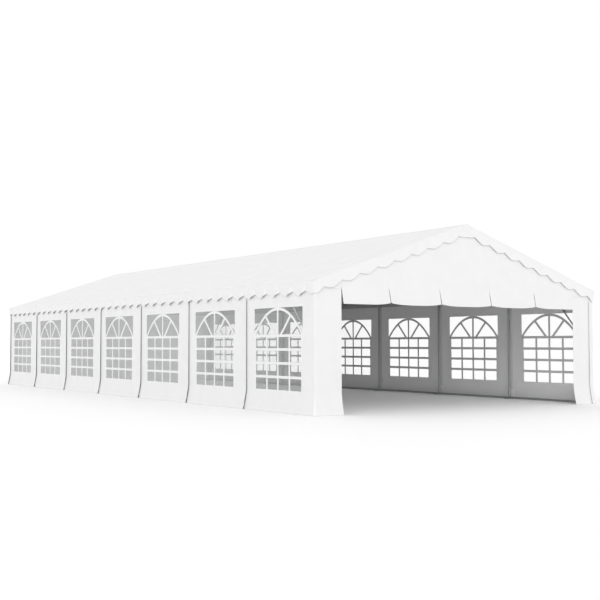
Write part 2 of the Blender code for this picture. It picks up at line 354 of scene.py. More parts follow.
def handling_group():
    """Soft creases and faint smudges that cloth and steel both pick up from handling."""
    inputs = {"Place": "Vector", "Size": "Float"}
    outputs = {"Crease": "Float", "Smudge": "Float"}
    tree, given, result = new_tree("ShaderNodeTree", "handling marks", inputs, outputs)
    for label, scale, detail in (("Crease", 1.0, 2.0), ("Smudge", 2.7, 5.0)):
        node = tree.nodes.new("ShaderNodeTexNoise")
        node.inputs["Detail"].default_value = detail
        tree.links.new(given.outputs["Place"], node.inputs["Vector"])
        tree.links.new(
            math_node(tree, "MULTIPLY", given.outputs["Size"], scale), node.inputs["Scale"]
        )
        tree.links.new(node.outputs["Fac"], result.inputs[label])
    return tree


def object_place(tree):
    return tree.nodes.new("ShaderNodeTexCoord").outputs["Object"]


def flat_map(tree):
    node = tree.nodes.new("ShaderNodeUVMap")
    node.uv_map = "flat"
    return node.outputs["UV"]


def handling_marks(tree, size):
    """The crease and the smudge of one finish, finer for a larger size."""
    node = use_group(tree, HANDLING, Size=size)
    tree.links.new(object_place(tree), node.inputs["Place"])
    return node.outputs["Crease"], node.outputs["Smudge"]


def coated_cloth(name, clean, soiled, roughness, threads):
    """White coated cloth: a soft sheen, a fine scrim, long soft creases and faint smudges."""
    made, tree, shader = new_material(name)
    crease, smudge = handling_marks(tree, 1.6)
    weave = use_group(tree, SCRIM, Threads=threads)
    tree.links.new(flat_map(tree), weave.inputs["Flat"])
    soiling = range_node(tree, smudge, 0.35, 0.75, 0.0, 1.0)
    tree.links.new(mix_node(tree, soiling, clean, soiled), shader.inputs["Base Color"])
    dulling = range_node(tree, smudge, 0.3, 0.7, roughness - 0.05, roughness + 0.06)
    tree.links.new(dulling, shader.inputs["Roughness"])
    creased = bump_node(tree, crease, 0.18, 0.02)
    woven = bump_node(tree, weave.outputs["Height"], 0.2, 0.0002, creased)
    tree.links.new(woven, shader.inputs["Normal"])
    return made


def clear_film():
    """Clear film with a slight haze, whose grey base shows more the more aslant it is seen, as a painted
    reflection of the white surroundings.
    """
    made, tree, shader = new_material("clear_film")
    shader.inputs["Base Color"].default_value = (0.86, 0.87, 0.88, 1)
    shader.inputs["Roughness"].default_value = 0.08
    crease, _ = handling_marks(tree, 2.4)
    tree.links.new(bump_node(tree, crease, 0.3, 0.02), shader.inputs["Normal"])
    aslant = tree.nodes.new("ShaderNodeLayerWeight")
    aslant.inputs["Blend"].default_value = 0.5
    # alpha rising towards an aslant view shows the grey base as a painted reflection, over a slight haze
    haze_and_painted_reflection = range_node(tree, aslant.outputs["Facing"], 0.34, 0.56, 0.015, 0.235)
    haze_and_painted_reflection.node.interpolation_type = "SMOOTHSTEP"
    tree.links.new(haze_and_painted_reflection, shader.inputs["Alpha"])
    return made


def galvanised_tube():
    """Galvanised tube: pale spangle over grey zinc, with duller patches."""
    made, tree, shader = new_material("galvanised_tube")
    spangle = tree.nodes.new("ShaderNodeTexVoronoi")
    spangle.inputs["Scale"].default_value = 90.0
    tree.links.new(object_place(tree), spangle.inputs["Vector"])
    grey = range_node(tree, spangle.outputs["Color"], 0.0, 1.0, 0.0, 1.0)
    zinc = mix_node(tree, grey, (0.31, 0.32, 0.33), (0.45, 0.46, 0.47))
    tree.links.new(zinc, shader.inputs["Base Color"])
    crease, smudge = handling_marks(tree, 9.0)
    tree.links.new(range_node(tree, smudge, 0.3, 0.7, 0.34, 0.54), shader.inputs["Roughness"])
    tree.links.new(bump_node(tree, crease, 0.1, 0.002), shader.inputs["Normal"])
    shader.inputs["Metallic"].default_value = 0.9
    return made


def zinc_fittings():
    """Brighter zinc of bolts and washers, worn in patches."""
    made, tree, shader = new_material("zinc_fittings")
    _, smudge = handling_marks(tree, 40.0)
    worn = range_node(tree, smudge, 0.35, 0.7, 0.0, 1.0)
    zinc = mix_node(tree, worn, (0.62, 0.62, 0.6), (0.4, 0.4, 0.41))
    tree.links.new(zinc, shader.inputs["Base Color"])
    tree.links.new(range_node(tree, worn, 0.0, 1.0, 0.28, 0.5), shader.inputs["Roughness"])
    shader.inputs["Metallic"].default_value = 1.0
    return made


def plain_floor():
    made, _, shader = new_material("floor")
    shader.inputs["Base Color"].default_value = (0.94, 0.94, 0.94, 1)
    shader.inputs["Roughness"].default_value = 0.7
    return made


SCRIM = scrim_group()
HANDLING = handling_group()
WHITE_CLOTH = coated_cloth("white_cloth", (0.762, 0.762, 0.762), (0.742, 0.742, 0.742), 0.42, 420.0)
WHITE_BAND = coated_cloth("white_band", (0.77, 0.77, 0.77), (0.75, 0.75, 0.75), 0.34, 700.0)
# grey tape: its grey is painted shade, beside the posts and in the seams' gaps, and on the window bars'
# backs
TAPE_PAINTED_SHADE = coated_cloth("tape_painted_shade", (0.62, 0.62, 0.625), (0.58, 0.58, 0.585), 0.5, 700.0)
# grey webbing: its grey is painted shade along the walls' tops under the eave
WEBBING_PAINTED_SHADE = coated_cloth("webbing_painted_shade", (0.42, 0.42, 0.43), (0.36, 0.36, 0.37), 0.7, 900.0)
CLEAR_FILM = clear_film()
STEEL_TUBE = galvanised_tube()
ZINC = zinc_fittings()


# Making pieces

def add_piece(name, mesh, nodes=()):
    """Puts a finished mesh on the tent's one body, with the CAD nodes it stands for."""
    piece = new_object(name, mesh)
    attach(piece, "root")
    if nodes:
        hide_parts(*nodes)
    return piece


def finished_mesh(name, shape):
    """A plain mesh of bmesh work, which is then freed."""
    mesh = bpy.data.meshes.new(name)
    shape.to_mesh(mesh)
    shape.free()
    return mesh


def evaluated_mesh(holder):
    """The plain mesh of an object with its modifiers, which is then removed."""
    bpy.context.scene.collection.objects.link(holder)
    shown = holder.evaluated_get(bpy.context.evaluated_depsgraph_get())
    mesh = bpy.data.meshes.new_from_object(shown)
    bpy.data.objects.remove(holder)
    return mesh


def sharpen(mesh, degrees=40):
    mesh.shade_smooth()
    mesh.set_sharp_from_angle(angle=math.radians(degrees))
    return mesh


def stops_between(stops, step):
    """The stops in order, with even steps of at most step between them."""
    stops = sorted(set(round(stop, 6) for stop in stops))
    places = []
    for low, high in zip(stops, stops[1:]):
        count = max(1, math.ceil((high - low) / step - SLIP))
        places += [low + (high - low) * k / count for k in range(count)]
    return [*places, stops[-1]]


class Cloth:
    """Flat work of one thickness, laid over a surface by place(along, up, lift)."""

    def __init__(self, place):
        self.shape = bmesh.new()
        self.flat = self.shape.loops.layers.uv.new("flat")
        self.place = place

    def face(self, corners, spots):
        made = self.shape.faces.new(corners)
        for loop, spot in zip(made.loops, spots):
            loop[self.flat].uv = spot

    def sheet(self, alongs, ups, hole=None):
        """A grid of faces, left open where hole(along, up) says so."""
        grid = {}
        for i, along in enumerate(alongs):
            for j, up in enumerate(ups):
                grid[i, j] = self.shape.verts.new(self.place(along, up, 0.0))
        for i in range(len(alongs) - 1):
            for j in range(len(ups) - 1):
                mid = ((alongs[i] + alongs[i + 1]) / 2, (ups[j] + ups[j + 1]) / 2)
                if hole and hole(*mid):
                    continue
                around = [(i, j), (i + 1, j), (i + 1, j + 1), (i, j + 1)]
                self.face([grid[c] for c in around], [(alongs[a], ups[b]) for a, b in around])
        loose = [vert for vert in self.shape.verts if not vert.link_faces]
        bmesh.ops.delete(self.shape, geom=loose, context="VERTS")
        return self

    def band(self, line, width, lift, step=GRID, closed=False):
        """A band that follows a line of (along, up) spots."""
        spots = [Vector(spot) for spot in line]
        if closed:
            spots.append(spots[0])
        fine = []
        for start, stop in zip(spots, spots[1:]):
            count = max(1, math.ceil((stop - start).length / step - SLIP))
            fine += [start.lerp(stop, k / count) for k in range(count)]
        fine.append(spots[-1])
        ways = [(stop - start).normalized() for start, stop in zip(fine, fine[1:])]
        first, last = (ways[-1], ways[0]) if closed else (ways[0], ways[-1])
        pairs, rows = [], []
        for spot, before, after in zip(fine, [first, *ways], [*ways, last]):
            way = (before + after).normalized()
            side = Vector((-way.y, way.x)) * width / 2 / max(0.5, way.dot(before))
            pair = (spot - side, spot + side)
            pairs.append(pair)
            rows.append([self.shape.verts.new(self.place(*end, lift)) for end in pair])
        for k in range(len(ways)):
            corners = [rows[k][0], rows[k + 1][0], rows[k + 1][1], rows[k][1]]
            spots = [pairs[k][0], pairs[k + 1][0], pairs[k + 1][1], pairs[k][1]]
            self.face(corners, spots)

    def mesh(self, name, thickness, material):
        """The work as a closed mesh of even thickness."""
        open_mesh = finished_mesh(name, self.shape)
        open_mesh.materials.append(material)
        open_mesh.shade_smooth()
        holder = bpy.data.objects.new(name, open_mesh)
        solid = holder.modifiers.new("thickness", "SOLIDIFY")
        solid.thickness = thickness
        solid.offset = 0
        mesh = evaluated_mesh(holder)
        bpy.data.meshes.remove(open_mesh)
        mesh.name = name
        return sharpen(mesh)


def joined(name, *meshes):
    """One mesh from several, with their UVs and materials."""
    holders = [new_object(name, mesh) for mesh in meshes]
    with bpy.context.temp_override(
        active_object=holders[0], selected_editable_objects=holders, selected_objects=holders
    ):
        bpy.ops.object.join()
    mesh = holders[0].data
    bpy.data.objects.remove(holders[0])
    mesh.name = name
    return mesh


# Places on the tent

# Each side's start, its direction and its length, in order round the tent as seen from outside
ROUND = [
    (Vector((-HALF, -REACH)), Vector((1, 0)), SPAN),
    (Vector((HALF, -REACH)), Vector((0, 1)), LENGTH),
    (Vector((HALF, REACH)), Vector((-1, 0)), SPAN),
    (Vector((-HALF, REACH)), Vector((0, -1)), LENGTH),
]
GIRTH = 2 * (SPAN + LENGTH)
CORNERS = (0.0, SPAN, SPAN + LENGTH, 2 * SPAN + LENGTH, GIRTH)


def on_right(along):
    return SPAN + along + REACH


def on_back(across):
    return SPAN + LENGTH + HALF - across


def on_left(along):
    return GIRTH - REACH - along


def round_tent(along, up, out, squared=0.0):
    """A place along metres round the tent, from the front left corner, and out from its walls.

    The corners' radius grows with out. It stays the same with squared, which is also outwards.
    """
    along %= GIRTH
    for start, way, run in ROUND:
        if along <= run:
            break
        along -= run
    outward = Vector((way.y, -way.x))
    edge = min(along, run - along)
    place = start + way * along + outward * (out + squared)
    if edge < CORNER_R:
        turn = math.radians(45) * (1 - edge / CORNER_R)
        end = 1 if along > run / 2 else -1
        centre = start + way * (run - CORNER_R if end > 0 else CORNER_R) - outward * CORNER_R
        centre += (outward + way * end) * squared
        place = centre + (outward * math.cos(turn) + way * end * math.sin(turn)) * (CORNER_R + out)
    return Vector((place.x, place.y, up))


def roof_z(across):
    return RIDGE_Z - abs(across) * RISE


def ease(value):
    value = max(0.0, min(1.0, value))
    return value * value * (3 - 2 * value)


def lobe(phase):
    """How full a scallop is: 0 at its cusps and 1 at its lowest point."""
    return 1 - abs(2 * (phase % 1) - 1) ** LOBE_POWER


def skirt_foot(up):
    """How far down the flaring skirt a height is: 0 above it and 1 at the ground."""
    return max(0.0, 1 - up / SKIRT_Z)


def taut_sheet(along, up, lift):
    """Cloth pulled flat on the walls' plane, with the skirt's flare."""
    return round_tent(along, up, SKIRT_FLARE * skirt_foot(up) ** SKIRT_CURVE - CLOTH_IN + lift)


def loose_edge(up):
    """How far a lapping sheet's edge stands out over its neighbour at a height."""
    below = ease((LOOSE_FROM_Z - up) / LOOSE_RUN)
    return LOOSE_TOP + LOOSE_MID * below + LOOSE_FOOT * (1 - up / WALL_TOP)


def fold(kind, along, up, salt):
    """How far cloth stands out in one kind of fold. Each salt gives other folds."""
    depth, along_rate, up_rate = kind
    return depth * noise.noise((along * along_rate, up * up_rate, salt))


def hung_sheet(start, stop, salt, lap=None, share=1.0):
    """How one wall sheet hangs between its edges, with a loose one at lap: place(along, up, lift)."""

    def place(along, up, lift):
        out = fold(BROAD_FOLD, along, up, salt) + fold(FINE_FOLD, along, up, salt + 9)
        out += skirt_foot(up) * fold(SKIRT_FOLD, along, up, salt + 20)
        out *= ease(min(along - start, stop - along) / SLACK_RUN)
        if lap is not None:
            out += share * loose_edge(up) * (1 - ease(abs(along - lap) / LOOSE_W))
        return taut_sheet(along, up, out + lift)

    return place


def behind(place):
    """Places one cloth's thickness inside those of a sheet."""
    return lambda along, up, lift: place(along, up, lift - CLOTH_T)


# Walls

def in_window(along, up, centre):
    """Whether a spot of a wall lies in the opening round centre, if the wall has one."""
    if centre is None:
        return False
    across = abs(along - centre)
    low = WINDOW_LOW < up < WINDOW_STEP and across < WINDOW_HALF_LOW
    high = WINDOW_STEP < up < WINDOW_HIGH and across < WINDOW_HALF
    return low or high


def wall_stops(start, stop):
    """Grid lines for a wall's edges, hems and tapes, and close ones round any corner it wraps."""
    insets = (0.0, HEM_W, 1.5 * HEM_W, LOOSE_W, TAPE_W)
    stops = [start + inset for inset in insets] + [stop - inset for inset in insets]
    for corner in CORNERS:
        if start < corner < stop:
            around = range(-CORNER_STEPS - 1, CORNER_STEPS + 2)
            stops += [corner + CORNER_R * k / CORNER_STEPS for k in around]
    return stops


def wall_rows():
    """Heights for a wall's rows, close together where the skirt curves."""
    rows = [HEM_Z + (SKIRT_Z - HEM_Z) * k / SKIRT_ROWS for k in range(SKIRT_ROWS + 1)]
    return stops_between([*rows, WALL_TOP - WEBBING_W, WALL_TOP], GRID)


def add_edge_bands(work, start, stop):
    """Welded hems along a sheet's two upright edges and its foot."""
    for along in (start + HEM_W / 2, stop - HEM_W / 2):
        work.band([(along, HEM_Z), (along, WALL_TOP)], HEM_W, BAND_T)
    across = stops_between(wall_stops(start, stop), GRID)[1:-1]
    level = HEM_Z + FOOT_HEM_W / 2
    work.band([(along, level) for along in across], FOOT_HEM_W, BAND_T, step=1)


def inner_bands(place, start, stop, lap, ups):
    """Grey webbing inside a sheet's top, whose grey paints the shade under the eave, and grey tape
    inside the edge that laps its neighbour, whose grey paints the shade beside the post.
    """
    webbing = Cloth(place)
    across = stops_between(wall_stops(start, stop), GRID)
    level = WALL_TOP - WEBBING_DROP - WEBBING_W / 2
    webbing.band([(along, level) for along in across], WEBBING_W, -CLOTH_T, step=1)
    # the webbing's grey paints the shade along the wall's top, under the eave
    meshes = [webbing.mesh("webbing", BAND_T, WEBBING_PAINTED_SHADE)]
    if lap is not None:
        columns = [along for along in across if abs(along - lap) < TAPE_W + SLIP]
        rows = [up for up in ups if SKIRT_Z / 2 < up < WALL_TOP - WEBBING_W + SLIP]
        tape = Cloth(behind(place)).sheet(columns, rows)
        # the tape's grey paints the shade beside each post and in the seam's gap
        meshes.append(tape.mesh("tape", BAND_T, TAPE_PAINTED_SHADE))
    return meshes


def arch_up(across):
    """Height of the arched bar's middle line."""
    return WINDOW_STEP + ARCH_RISE * (1 - abs(across / WINDOW_HALF) ** ARCH_POWER)


def bar_lines(centre):
    """Middle lines of a window's bars: the upright and slanting ones, then the level and arched ones."""
    upright = [[(across, WINDOW_LOW - BAR_END), (across, WINDOW_STEP)] for across in WINDOW_BARS_ACROSS]
    upright.append([(0, WINDOW_STEP), (0, WINDOW_STEP + ARCH_RISE)])
    for hand in (-1, 1):
        upright.append([(hand * SPOKE_FOOT, WINDOW_STEP), (hand * SPOKE_HEAD, arch_up(SPOKE_HEAD))])
    level = []
    for up in WINDOW_BARS_UP:
        half = (WINDOW_HALF if up == WINDOW_STEP else WINDOW_HALF_LOW) + BAR_END
        level.append([(-half, up), (half, up)])
    turns = [math.pi / 2 * (2 * k / ARCH_STEPS - 1) for k in range(ARCH_STEPS + 1)]
    bend = [WINDOW_HALF * math.sin(turn) for turn in turns]
    level.append([(across, arch_up(across)) for across in bend])
    return [[[(centre + across, up) for across, up in line] for line in way] for way in (upright, level)]


def window_bars(place, centre):
    """Bars welded over a clear pane, white outside with grey backs whose grey paints the shade the bars
    stand in when seen from inside: a grid, and a fan under an arch.
    """
    meshes = []
    for layer, lines in enumerate(bar_lines(centre)):
        front, back = Cloth(place), Cloth(place)
        for line in lines:
            front.band(line, BAR_W, BAR_LAYER * layer)
            back.band(line, BAR_BACK_W, BAR_BACK_IN - BAR_LAYER * layer)
        meshes.append(front.mesh("window_bars", BAND_T, WHITE_BAND))
        # grey backs: painted shade of the bars as seen from inside
        meshes.append(back.mesh("window_bars", PANE_T, TAPE_PAINTED_SHADE))
    return joined("window_bars", *meshes)


def window_border(work, centre):
    """A welded band round the opening, on the cloth."""
    out = BORDER_W / 2
    corners = [
        (WINDOW_HALF_LOW + out, WINDOW_LOW - out),
        (WINDOW_HALF_LOW + out, WINDOW_STEP - out),
        (WINDOW_HALF + out, WINDOW_STEP - out),
        (WINDOW_HALF + out, WINDOW_HIGH + out),
    ]
    ring = corners + [(-across, up) for across, up in corners[::-1]]
    work.band([(centre + across, up) for across, up in ring], BORDER_W, BAND_T, closed=True)


def wall_piece(name, place, start, stop, lap, nodes, centre=None):
    """A wall sheet with its hems, webbing and tape, and with a bordered opening round any centre."""
    stops = wall_stops(start, stop)
    ups = wall_rows()
    bands = Cloth(place)
    add_edge_bands(bands, start, stop)
    if centre is not None:
        for half in (WINDOW_HALF_LOW, WINDOW_HALF):
            stops += [centre - half, centre + half]
        ups = stops_between([*ups, WINDOW_LOW, WINDOW_STEP, WINDOW_HIGH], GRID)
        window_border(bands, centre)
    work = Cloth(place)
    work.sheet(stops_between(stops, GRID), ups, lambda along, up: in_window(along, up, centre))
    cloth = work.mesh(name, CLOTH_T, WHITE_CLOTH)
    inner = inner_bands(place, start, stop, lap, ups)
    mesh = joined(name, cloth, bands.mesh(name, BAND_T, WHITE_BAND), *inner)
    return add_piece(name, mesh, nodes)


def add_wall(hand, bay, place, start, stop, lap, nodes, centre):
    """One wall sheet with its window: the cloth, the clear pane and the white bars."""
    wall = wall_piece(f"{hand}_wall_sheet_{bay}", place, start, stop, lap, nodes, centre)
    name = f"{hand}_pane_{bay}"
    reach = WINDOW_HALF + PANE_MARGIN
    alongs = stops_between([centre - reach, centre + reach], GRID)
    ups = stops_between([WINDOW_LOW - PANE_MARGIN, WINDOW_HIGH + PANE_MARGIN], GRID)
    pane = Cloth(behind(place)).sheet(alongs, ups).mesh(name, PANE_T, CLEAR_FILM)
    add_piece(name, pane, [f"{hand}_window_sheet"])
    bars = add_piece(f"{hand}_window_bars_{bay}", window_bars(place, centre))
    opening = 2 * WINDOW_HALF_LOW * (WINDOW_STEP - WINDOW_LOW)
    opening += 2 * WINDOW_HALF * (WINDOW_HIGH - WINDOW_STEP)


def side_walls():
    """Seven wall sheets on each long side. The first wraps the front corner."""
    for hand, on_side in (("left", on_left), ("right", on_right)):
        for bay in range(1, BAYS + 1):
            rear = bay * BAY - REACH - SEAM
            lap = on_side(rear - BAY - SEAM_LAP)
            start, stop = sorted((lap, on_side(rear)))
            share = 1.0
            nodes = [f"{hand}_wall_{bay}"]
            if bay == 1 and hand == "left":
                stop = GIRTH + LEFT_STRIP_W
                lap = None
                nodes.append("front_strip_left")
            elif bay == 1:
                lap = start = SPAN - RIGHT_CORNER_LAP - SEAM_LAP
                share = CORNER_LOOSE
            salt = bay * 3.7 + (0 if hand == "left" else 50)
            place = hung_sheet(start, stop, salt, lap, share)
            centre = on_side((bay - 0.5) * BAY - REACH)
            add_wall(hand, bay, place, start, stop, lap, nodes, centre)


def add_plain_wall(name, start, stop, salt, node, lap=None):
    """A plain hanging sheet."""
    wall = wall_piece(name, hung_sheet(start, stop, salt, lap), start, stop, lap, [node])


def back_node(kind, way):
    """The solid at this side of the back, where left and right are as seen from behind."""
    left = f"back_{kind}_left"
    return left if middle(left).x * way > 0 else f"back_{kind}_right"


def end_walls():
    """The right strip of the open front, and the closed back: two strips and two leaves."""
    start, stop = SPAN - RIGHT_STRIP_W, SPAN - RIGHT_CORNER_LAP
    add_plain_wall("front_right_strip", start, stop, 81.0, "front_strip_right")
    for (hand, way), on_side in zip(SIDES, (on_left, on_right)):
        lap = on_side(REACH - SEAM - SEAM_LAP)
        leaf_end = on_back(way * (HALF - STRIP_W))
        start, stop = sorted((lap, leaf_end))
        node = back_node("strip", way)
        add_plain_wall(f"back_corner_{hand}", start, stop, 90.0 + way, node, lap)
        start, stop = sorted((on_back(0), leaf_end))
        node = back_node("leaf", way)
        add_plain_wall(f"back_curtain_{hand}", start, stop, 95.0 + way, node)


# Roof

def eased_corner(across, along):
    """Plan place on the roof cloth, with its corners rounded."""
    far = (abs(across) - ROOF_HALF + ROOF_CORNER_R, abs(along) - ROOF_REACH + ROOF_CORNER_R)
    if min(far) <= 0:
        return across, along
    x, y = (min(value / ROOF_CORNER_R, 1.0) for value in far)
    x, y = x * math.sqrt(1 - y * y / 2), y * math.sqrt(1 - x * x / 2)
    return (
        math.copysign(ROOF_HALF - ROOF_CORNER_R * (1 - x), across),
        math.copysign(ROOF_REACH - ROOF_CORNER_R * (1 - y), along),
    )


def roof_place(across, along, lift):
    """A place on the roof cloth, which sags a little between the frames and the rails."""
    across, along = eased_corner(across, along)
    line = (along + REACH) / BAY
    bay = math.sin(math.pi * line) ** 2 if abs(along) < REACH else 0.0
    rail = math.sin(math.pi * abs(across) / PURLIN.x) ** 2 if abs(across) < HALF else 0.0
    bay *= 1 - ease((abs(across) - HALF + SAG_END) / SAG_END)
    out = lift - ROOF_IN * math.cos(SLOPE)
    out -= ROOF_SAG * bay * (SAG_AT_RAILS + (1 - SAG_AT_RAILS) * rail)
    out += bay * fold(ROOF_FOLD, across, along, 3.0)
    way = -1 if across < 0 else 1
    tilt = SLOPE * min(1.0, abs(across) / RIDGE_BEND)
    return Vector((
        across + way * math.sin(tilt) * out,
        along,
        roof_z(across) + math.cos(tilt) * out,
    ))


def roof():
    """One sheet over both slopes, made of lengths of cloth welded at each frame."""
    turn = [ROOF_CORNER_R * k / CORNER_STEPS for k in range(CORNER_STEPS + 1)]
    acrosses = [RIDGE_BEND * k / 2 for k in range(-2, 3)]
    acrosses += [hand * (ROOF_HALF - step) for hand in (-1, 1) for step in turn]
    acrosses = stops_between(acrosses, ROOF_STEP_ACROSS)
    lines = [k * BAY - REACH for k in range(1, BAYS)]
    ends = [hand * (ROOF_REACH - step) for hand in (-1, 1) for step in turn]
    alongs = stops_between([*ends, *lines], ROOF_STEP_ALONG)
    mesh = Cloth(roof_place).sheet(acrosses, alongs).mesh("roof_sheet", CLOTH_T, WHITE_CLOTH)
    bands = Cloth(roof_place)
    for line in lines:
        bands.band([(across, line) for across in acrosses], SEAM_BAND_W, BAND_T, step=1)
    bands.band([(0, along) for along in alongs], RIDGE_BAND_W, BAND_T * 2, step=1)
    for hand in (-1, 1):
        edge = hand * (ROOF_HALF - ROOF_HEM_IN)
        bands.band([(edge, along) for along in alongs], HEM_W, BAND_T, step=1)
    for hand in (-1, 1):
        end = hand * (ROOF_REACH - ROOF_HEM_IN)
        bands.band([(across, end) for across in acrosses], HEM_W, BAND_T, step=1)
    mesh = joined("roof_sheet", mesh, bands.mesh("roof_sheet", BAND_T, WHITE_BAND))
    roof_piece = add_piece("roof_sheet", mesh, ["roof_cover"])


def lobed_places(low, high, first_cusp, pitch):
    """Places along a scalloped edge, closer together at the cusps."""
    places = {low, high}
    count = math.ceil((high - low) / pitch) + 2
    first = math.floor((low - first_cusp) / pitch)
    for number in range(first, first + count):
        for step in range(LOBE_STEPS):
            share = (1 - math.cos(math.pi * step / LOBE_STEPS)) / 2
            place = first_cusp + pitch * (number + share)
            if low + LOBE_CLEAR < place < high - LOBE_CLEAR:
                places.add(place)
    return sorted(places)


def roof_edge_z(along):
    """Height of the valances' upper edge, along metres round the tent."""
    return roof_z(round_tent(along, 0.0, 0.0, VALANCE_OUT).x) - EDGE_IN


def add_valance(name, places, gone, scallops, node):
    """A scalloped strip with a piped hem. Its lobes are counted along gone(place)."""
    first, pitch, cusp_drop, lobe_drop, hem_out, curl = scallops
    rows = [k / VALANCE_ROWS for k in range(VALANCE_ROWS + 1)]

    def place(along, share, lift):
        down = 1 - share
        phase = (gone(along) - first) / pitch
        free = ease(min(along - places[0], places[-1] - along) / CORNER_RUN)
        drop = cusp_drop + (lobe_drop - cusp_drop) * lobe(phase)
        top = roof_edge_z(along)
        drop = top - CORNER_HEM_Z + (drop - top + CORNER_HEM_Z) * free
        curled = curl * free * max(0.0, math.cos(2 * math.pi * (phase - CURL_PHASE))) ** CURL_POWER
        hem = CORNER_HEM_OUT + (hem_out - CORNER_HEM_OUT) * free
        out = VALANCE_OUT + (hem - VALANCE_OUT) * down + curled * down ** CURL_DOWN_POWER
        out += down * free * fold(VALANCE_FOLD, along, down, 5.0)
        return round_tent(along, top - drop * down, lift, out)

    mesh = Cloth(place).sheet(places, rows).mesh(name, CLOTH_T, WHITE_BAND)
    valance = add_piece(name, mesh, [node])
    piping = piped_edge(name + "_piping", [place(along, 0.0, 0.0) for along in places])


def valances():
    """Scalloped strips along both eaves and both gables. They meet at rounded corners."""
    turn = [CORNER_R * k / CORNER_STEPS for k in range(CORNER_STEPS + 2)]
    eave_top = roof_edge_z(on_left(0))
    scallops = (EAVE_FIRST_CUSP, EAVE_LOBE, eave_top - EAVE_CUSP_Z, eave_top - EAVE_LOBE_Z)
    scallops += (EAVE_HEM_OUT, EAVE_HEM_CURL)
    line = lobed_places(0, LENGTH, EAVE_FIRST_CUSP, EAVE_LOBE)
    line = sorted({*line, *turn, *[LENGTH - step for step in turn]})
    for hand, places, gone in (
        ("left", [GIRTH - far for far in line[::-1]], lambda along: GIRTH - along),
        ("right", [SPAN + far for far in line], lambda along: along - SPAN),
    ):
        name, node, rail = f"{hand}_eave_valance", f"{hand}_valance", f"{hand}_eave_rail"
        add_valance(name, places, gone, scallops, node)

    scallops = (RAKE_FIRST_CUSP, RAKE_LOBE, RAKE_CUSP_DROP, RAKE_LOBE_DROP)
    scallops += (RAKE_HEM_OUT, RAKE_HEM_CURL)
    far = [*lobed_places(0, HALF, RAKE_FIRST_CUSP, RAKE_LOBE), *[HALF - step for step in turn]]
    slope = sorted({round(hand * place, 6) for hand in (-1, 1) for place in far})
    for end_name, centre, number in (("front", HALF, 1), ("back", SPAN + LENGTH + HALF, BAYS + 1)):
        add_valance(
            f"{end_name}_rake_valance",
            [centre + place for place in slope],
            lambda along, centre=centre: abs(along - centre),
            scallops,
            f"{end_name}_valance",
        )


def gable_lean(across, up):
    """How far the panel is drawn sideways, most at its slits' tops, so that they lean."""
    loose = max(0.0, (SLIT_TOP - up) / (SLIT_TOP - GABLE_CUSP_Z))
    drawn = ease((LEAN_END - across) / LEAN_END_W) * ease((across + HALF) / LEAN_START_W)
    return -SLIT_LEAN * (1 - loose) * drawn * (1 - ease((up - SLIT_TOP) / LEAN_TOP_H))


def gable_width(low, high, flap, bow, way):
    """How one width of a gable panel hangs between its edges: place(across, share, lift).

    A flap's foot rises at the ends that bow gives as -1 and 1, and stays low where it gives 0.
    """

    def place(across, share, lift):
        off = 2 * (across - low) / (high - low) - 1
        full = 1 - abs(max(bow[0], min(bow[1], off))) ** FLAP_POWER
        foot = GABLE_CUSP_Z - (GABLE_CUSP_Z - GABLE_LOBE_Z) * full if flap else GABLE_CORNER_Z
        up = foot + (roof_z(across) - GABLE_TOP_IN - foot) * share
        out = GABLE_OUT + lift + fold(GABLE_FOLD, across, up, 12.0 + way)
        shift = gable_lean(across, up)
        if flap and up < SLIT_TOP:
            loose = (SLIT_TOP - up) / (SLIT_TOP - foot)
            parted = min(1.0, SLIT_PARTING * loose) * SLIT_GAP / 2
            near_low, near_high = (
                max(0.0, 1 - gap / SLIT_REACH) for gap in (across - low, high - across)
            )
            shift += parted * (near_low - near_high)
            out += SLIT_CURL * loose * (1 - ease((across - low) / SLIT_CURL_W)) + FLAP_OUT * loose
        return Vector((way * (across + shift), -way * (REACH + out), up))

    return place


def gables():
    """A triangle of cloth at each end. Slits part its foot into flaps, bowed where they meet."""
    end = HALF - EDGE_IN
    edges = [-end, *GABLE_SLITS, end]
    last = len(edges) - 2
    rows = [k / GABLE_ROWS for k in range(GABLE_ROWS + 1)]
    for end_name, way, frame_number in (("front", 1, 1), ("back", -1, BAYS + 1)):
        meshes = []
        for number, (low, high) in enumerate(zip(edges, edges[1:])):
            bow = (0 if number == 1 else -1, 0 if number == last - 1 else 1)
            place = gable_width(low, high, 0 < number < last, bow, way)
            stops = [low, low + FLAP_HEM_W, high - FLAP_HEM_W, high]
            if low < 0 < high:
                stops.append(0.0)
            work = Cloth(place).sheet(stops_between(stops, GRID), rows)
            meshes.append(work.mesh("gable", CLOTH_T, WHITE_CLOTH))
        name = f"{end_name}_gable_panel"
        panel = add_piece(name, joined(name, *meshes), [f"{end_name}_gable"])


# Geometry Nodes

def run_tree(tree, data, **values):
    """The plain mesh that a tree makes from a mesh or a curve, with its named inputs set."""
    holder = bpy.data.objects.new(tree.name, data)
    modifier = holder.modifiers.new(tree.name, "NODES")
    modifier.node_group = tree
    for socket in tree.interface.items_tree:
        if socket.in_out == "INPUT" and socket.name in values:
            modifier[socket.identifier] = values[socket.name]
    return evaluated_mesh(holder)


